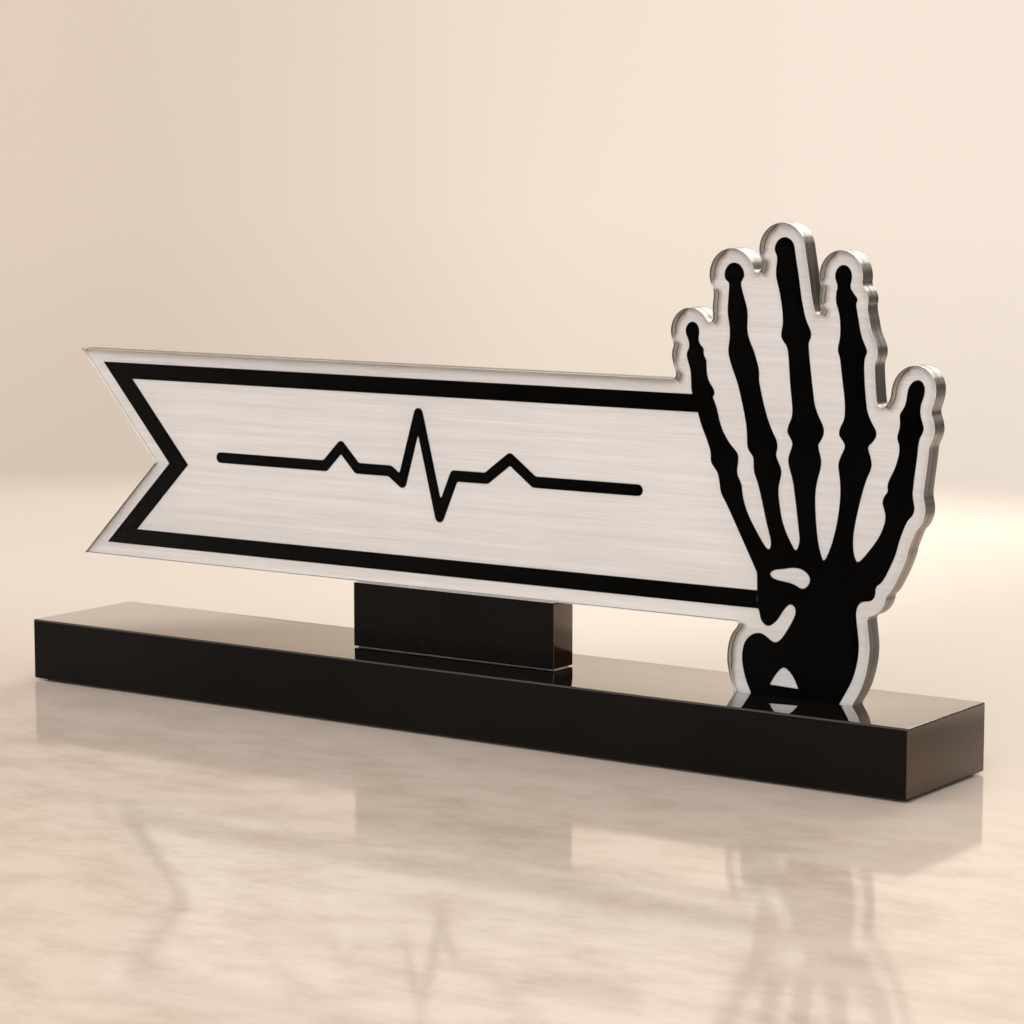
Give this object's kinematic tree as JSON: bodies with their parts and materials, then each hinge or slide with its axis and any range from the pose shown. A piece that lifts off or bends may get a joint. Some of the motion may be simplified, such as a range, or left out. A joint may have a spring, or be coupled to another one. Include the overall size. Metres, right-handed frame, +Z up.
{
  "type": "desk nameplate",
  "caption": "Flat layered desk nameplate with a swallow tail and a skeleton hand, standing on a riser and in a slot of a black bar.",
  "frame": {"origin": "on the desk, under the middle of the bar", "axes": "+X along the bar towards the hand, +Y away from the reader, +Z up"},
  "size_m": [0.3, 0.044, 0.1435],
  "materials": {
    "black_acrylic": "polished black acrylic, diamond-polished edges",
    "clear_acrylic": "clear cast acrylic with laser-cut edges",
    "brushed_silver": "fine horizontal brushing, satin",
    "black_film": "flat black",
    "clear_tape": "clear double-sided mounting tape",
    "pad_rubber": "matt black non-slip sheet"
  },
  "bodies": {
    "root": {"desk_pad": "pad_rubber", "base_bar": "black_acrylic", "riser_tape": "clear_tape", "riser_block": "black_acrylic", "front_sheet": "clear_acrylic", "hand_bones": "black_film", "border_band": "black_film", "pulse_line": "black_film", "silver_sheet": "brushed_silver", "back_sheet": "black_acrylic"}
  },
  "joints": []
}
